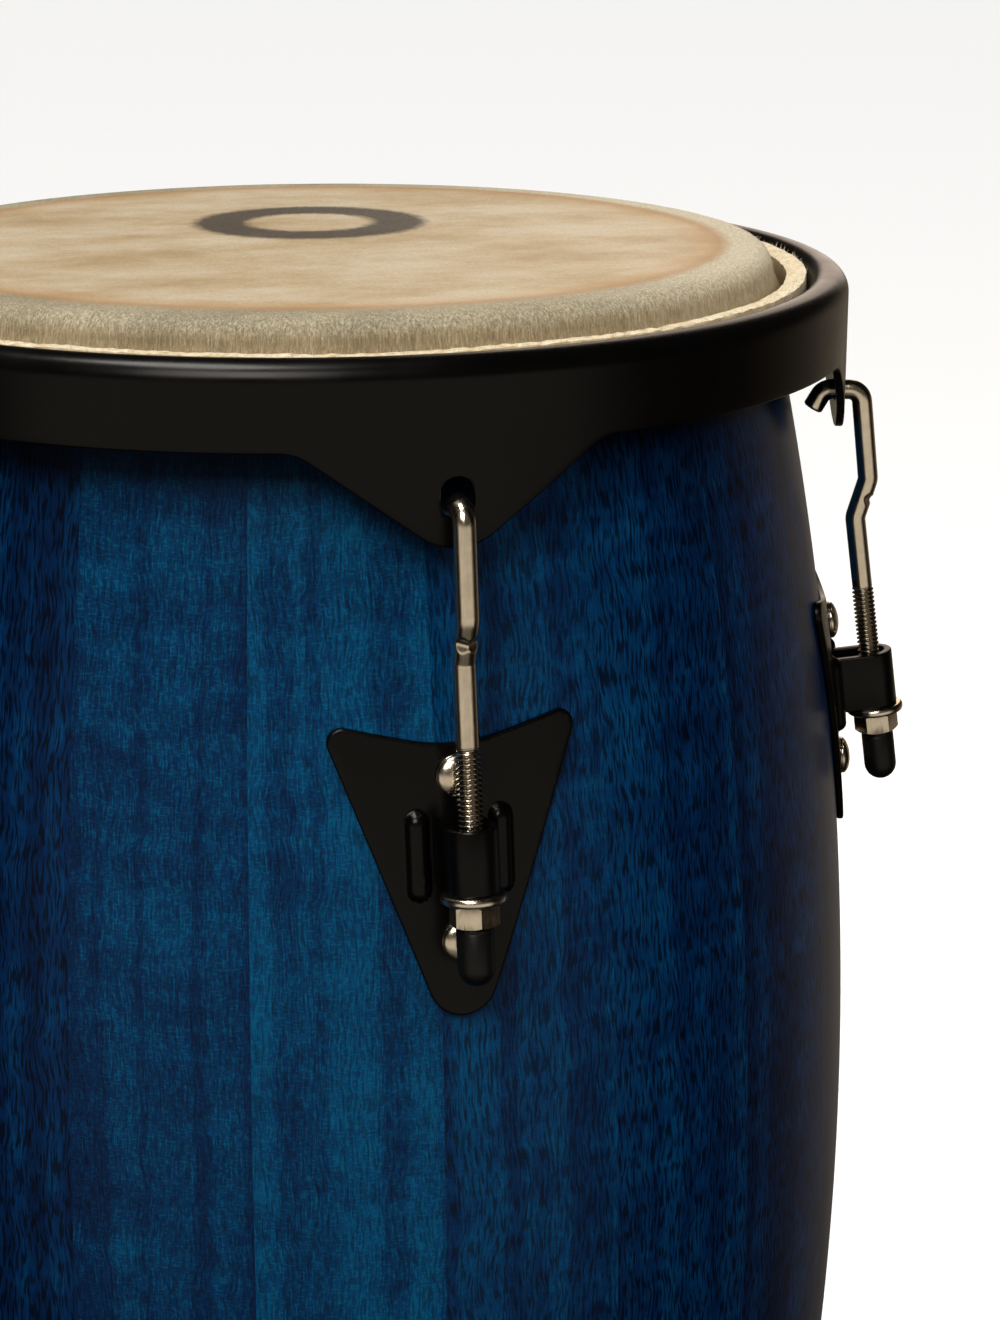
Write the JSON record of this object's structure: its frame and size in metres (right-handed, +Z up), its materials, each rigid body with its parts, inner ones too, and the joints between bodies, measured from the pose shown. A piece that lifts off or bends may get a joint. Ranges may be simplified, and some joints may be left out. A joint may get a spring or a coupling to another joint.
{
  "type": "conga drum",
  "caption": "Tall bellied hand drum of glued wooden staves, open at the foot, with a rawhide head under a steel rim drawn down by hooked tuning lugs on side plates.",
  "frame": {"origin": "centre of the open foot, on the floor under the rubber ring", "axes": "+Z up along the drum's axis to the head; -Y towards the first tuning hook, the others follow every 72 degrees anticlockwise seen from above"},
  "size_m": [0.329, 0.3295, 0.7135],
  "materials": {
    "stained_staves": "transparent blue stain under satin lacquer, fine pores and a broken figure",
    "powder_coated_steel": "black satin powder coat on steel",
    "nickel_plated_steel": "nickel plate, softly polished",
    "zinc_plated_steel": "zinc plate",
    "cap_rubber": "black moulded rubber, slightly glossy",
    "base_rubber": "black moulded rubber, matt",
    "rawhide": "tan rawhide, scraped smooth with a band of grey hair at its edge",
    "trimmed_hide": "cream rawhide with a rough cut end"
  },
  "bodies": {
    "shell": {"stave_01": "stained_staves", "stave_02": "stained_staves", "stave_03": "stained_staves", "stave_04": "stained_staves", "stave_05": "stained_staves", "stave_06": "stained_staves", "stave_07": "stained_staves", "stave_08": "stained_staves", "stave_09": "stained_staves", "stave_10": "stained_staves", "stave_11": "stained_staves", "stave_12": "stained_staves", "stave_13": "stained_staves", "stave_14": "stained_staves", "stave_15": "stained_staves", "stave_16": "stained_staves", "stave_17": "stained_staves", "stave_18": "stained_staves", "stave_19": "stained_staves", "stave_20": "stained_staves", "side_plate_1": "powder_coated_steel", "side_plate_2": "powder_coated_steel", "side_plate_3": "powder_coated_steel", "side_plate_4": "powder_coated_steel", "side_plate_5": "powder_coated_steel", "lug_bracket_1": "powder_coated_steel", "lug_bracket_2": "powder_coated_steel", "lug_bracket_3": "powder_coated_steel", "lug_bracket_4": "powder_coated_steel", "lug_bracket_5": "powder_coated_steel", "tuning_washers": "nickel_plated_steel", "plate_bolts": "nickel_plated_steel", "bolt_washers": "zinc_plated_steel", "bolt_nuts": "zinc_plated_steel", "base_ring": "base_rubber", "drum_skin": "rawhide"},
    "rim": {"rim": "powder_coated_steel", "flesh_hoop": "zinc_plated_steel", "skin_collar": "rawhide", "skin_fold": "trimmed_hide"},
    "hook_1": {"tuning_hook_1": "nickel_plated_steel", "lug_cap_1": "cap_rubber"},
    "nut_1": {"tuning_nut_1": "nickel_plated_steel"},
    "hook_2": {"tuning_hook_2": "nickel_plated_steel", "lug_cap_2": "cap_rubber"},
    "nut_2": {"tuning_nut_2": "nickel_plated_steel"},
    "hook_3": {"tuning_hook_3": "nickel_plated_steel", "lug_cap_3": "cap_rubber"},
    "nut_3": {"tuning_nut_3": "nickel_plated_steel"},
    "hook_4": {"tuning_hook_4": "nickel_plated_steel", "lug_cap_4": "cap_rubber"},
    "nut_4": {"tuning_nut_4": "nickel_plated_steel"},
    "hook_5": {"tuning_hook_5": "nickel_plated_steel", "lug_cap_5": "cap_rubber"},
    "nut_5": {"tuning_nut_5": "nickel_plated_steel"}
  },
  "joints": [
    {"name": "rim_slide", "type": "slide", "parent": "shell", "child": "rim", "axis": [0, 0, -1], "range_m": [0, 0.008], "deforming": ["skin_collar"]},
    {"name": "hook_slide_1", "type": "slide", "parent": "shell", "child": "hook_1", "axis": [0, -0.134, -0.991], "range_m": [0, 0.00808]},
    {"name": "nut_turn_1", "type": "hinge", "parent": "shell", "child": "nut_1", "pos_m": [0, -0.1562, 0.6349], "axis": [0, 0.134, 0.991], "continuous": true},
    {"name": "hook_slide_2", "type": "slide", "parent": "shell", "child": "hook_2", "axis": [0.1274, -0.0414, -0.991], "range_m": [0, 0.00808]},
    {"name": "nut_turn_2", "type": "hinge", "parent": "shell", "child": "nut_2", "pos_m": [0.14856, -0.04827, 0.6349], "axis": [-0.1274, 0.0414, 0.991], "continuous": true},
    {"name": "hook_slide_3", "type": "slide", "parent": "shell", "child": "hook_3", "axis": [0.0788, 0.1084, -0.991], "range_m": [0, 0.00808]},
    {"name": "nut_turn_3", "type": "hinge", "parent": "shell", "child": "nut_3", "pos_m": [0.09181, 0.12637, 0.6349], "axis": [-0.0788, -0.1084, 0.991], "continuous": true},
    {"name": "hook_slide_4", "type": "slide", "parent": "shell", "child": "hook_4", "axis": [-0.0788, 0.1084, -0.991], "range_m": [0, 0.00808]},
    {"name": "nut_turn_4", "type": "hinge", "parent": "shell", "child": "nut_4", "pos_m": [-0.09181, 0.12637, 0.6349], "axis": [0.0788, -0.1084, 0.991], "continuous": true},
    {"name": "hook_slide_5", "type": "slide", "parent": "shell", "child": "hook_5", "axis": [-0.1274, -0.0414, -0.991], "range_m": [0, 0.00808]},
    {"name": "nut_turn_5", "type": "hinge", "parent": "shell", "child": "nut_5", "pos_m": [-0.14856, -0.04827, 0.6349], "axis": [0.1274, 0.0414, 0.991], "continuous": true}
  ],
  "couplings": [
    {"joint": "hook_slide_1", "follows": "rim_slide", "ratio": 1.0091},
    {"joint": "nut_turn_1", "follows": "rim_slide", "rad_per_m": 4992.4},
    {"joint": "hook_slide_2", "follows": "rim_slide", "ratio": 1.0091},
    {"joint": "nut_turn_2", "follows": "rim_slide", "rad_per_m": 4992.4},
    {"joint": "hook_slide_3", "follows": "rim_slide", "ratio": 1.0091},
    {"joint": "nut_turn_3", "follows": "rim_slide", "rad_per_m": 4992.4},
    {"joint": "hook_slide_4", "follows": "rim_slide", "ratio": 1.0091},
    {"joint": "nut_turn_4", "follows": "rim_slide", "rad_per_m": 4992.4},
    {"joint": "hook_slide_5", "follows": "rim_slide", "ratio": 1.0091},
    {"joint": "nut_turn_5", "follows": "rim_slide", "rad_per_m": 4992.4}
  ]
}
